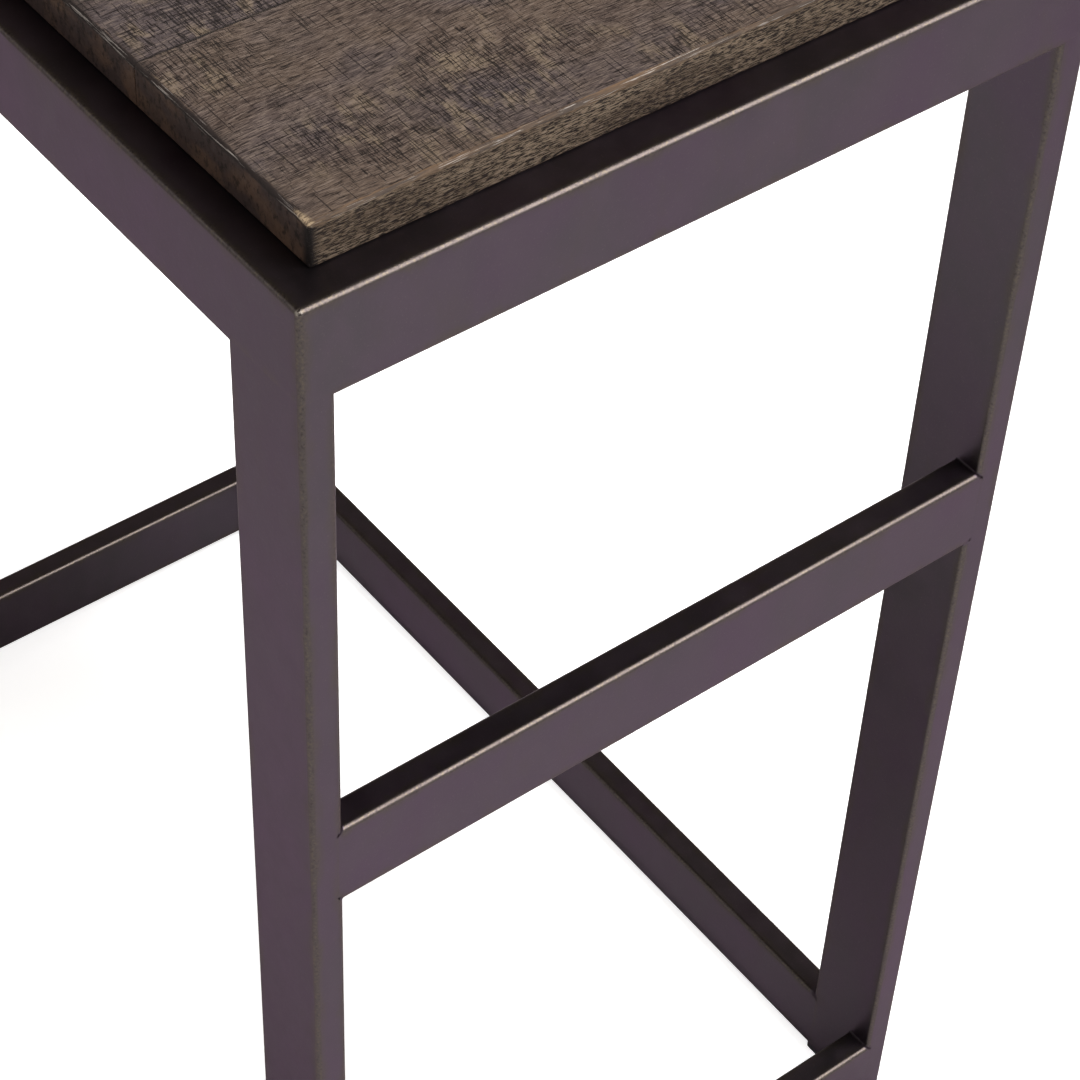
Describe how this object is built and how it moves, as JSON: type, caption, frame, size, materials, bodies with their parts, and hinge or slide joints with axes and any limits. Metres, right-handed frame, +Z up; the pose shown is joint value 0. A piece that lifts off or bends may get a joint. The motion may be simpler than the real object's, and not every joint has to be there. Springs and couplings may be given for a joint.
{
  "type": "bar stool",
  "caption": "Backless bar stool: welded frame of flat steel tube with side footrests, floor-level rails on three sides and an inset plank seat.",
  "frame": {"origin": "on the floor, below the middle of the seat", "axes": "+X along the long side of the seat, +Y along the short side with the front at -Y, +Z up"},
  "size_m": [0.495, 0.318, 0.6664],
  "materials": {
    "gunmetal": "satin dark gunmetal with rubbed edges",
    "weathered_wood": "rough-sawn grey-brown planks, low sheen",
    "zinc": "zinc-plated",
    "black_plastic": "moulded black"
  },
  "bodies": {
    "root": {"footrest_left": "gunmetal", "footrest_right": "gunmetal", "glide_back_left": "black_plastic", "glide_back_right": "black_plastic", "glide_front_left": "black_plastic", "glide_front_right": "black_plastic", "leg_back_left": "gunmetal", "leg_back_right": "gunmetal", "leg_front_left": "gunmetal", "leg_front_right": "gunmetal", "seat_plank_1": "weathered_wood", "seat_plank_2": "weathered_wood", "seat_plank_3": "weathered_wood", "seat_plank_4": "weathered_wood", "seat_plank_5": "weathered_wood", "seat_screw_back_1": "zinc", "seat_screw_back_2": "zinc", "seat_screw_back_3": "zinc", "seat_screw_back_4": "zinc", "seat_screw_back_5": "zinc", "seat_screw_front_1": "zinc", "seat_screw_front_2": "zinc", "seat_screw_front_3": "zinc", "seat_screw_front_4": "zinc", "seat_screw_front_5": "zinc", "seat_strap_back": "gunmetal", "seat_strap_front": "gunmetal", "stretcher_back": "gunmetal", "stretcher_left": "gunmetal", "stretcher_right": "gunmetal", "top_rail_back": "gunmetal", "top_rail_front": "gunmetal", "top_rail_left": "gunmetal", "top_rail_right": "gunmetal"}
  },
  "joints": []
}
